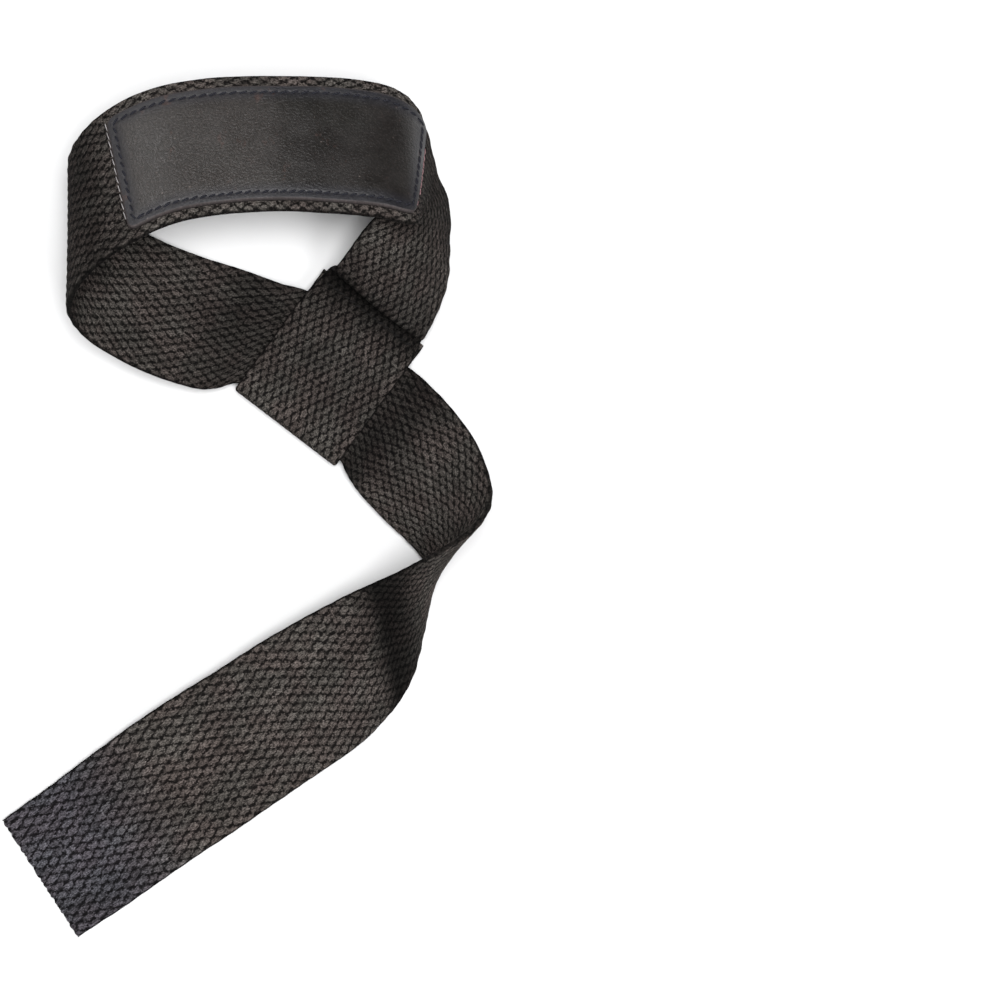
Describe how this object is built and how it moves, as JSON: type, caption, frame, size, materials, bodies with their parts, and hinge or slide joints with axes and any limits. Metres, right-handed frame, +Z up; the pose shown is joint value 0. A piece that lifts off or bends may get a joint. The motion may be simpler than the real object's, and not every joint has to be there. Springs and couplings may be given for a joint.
{
  "type": "weightlifting strap",
  "caption": "Wrist strap for lifting: woven cotton webbing laid in an open loop, its folded end a keeper the strap runs through, with a leather patch sewn on the loop.",
  "frame": {"origin": "centre of the laid strap's plan box, on the table it lies on", "axes": "+Z up off the table; +X to the right and +Y away, as the strap is seen from above with its cut end near left and its loop far"},
  "size_m": [0.132, 0.234, 0.0377],
  "materials": {
    "webbing": "matt charcoal cotton webbing with a coarse plain weave",
    "leather_patch": "black leather with a low sheen and a fine pebble grain"
  },
  "bodies": {
    "root": {"webbing": "webbing", "leather_patch": "leather_patch"}
  },
  "joints": []
}
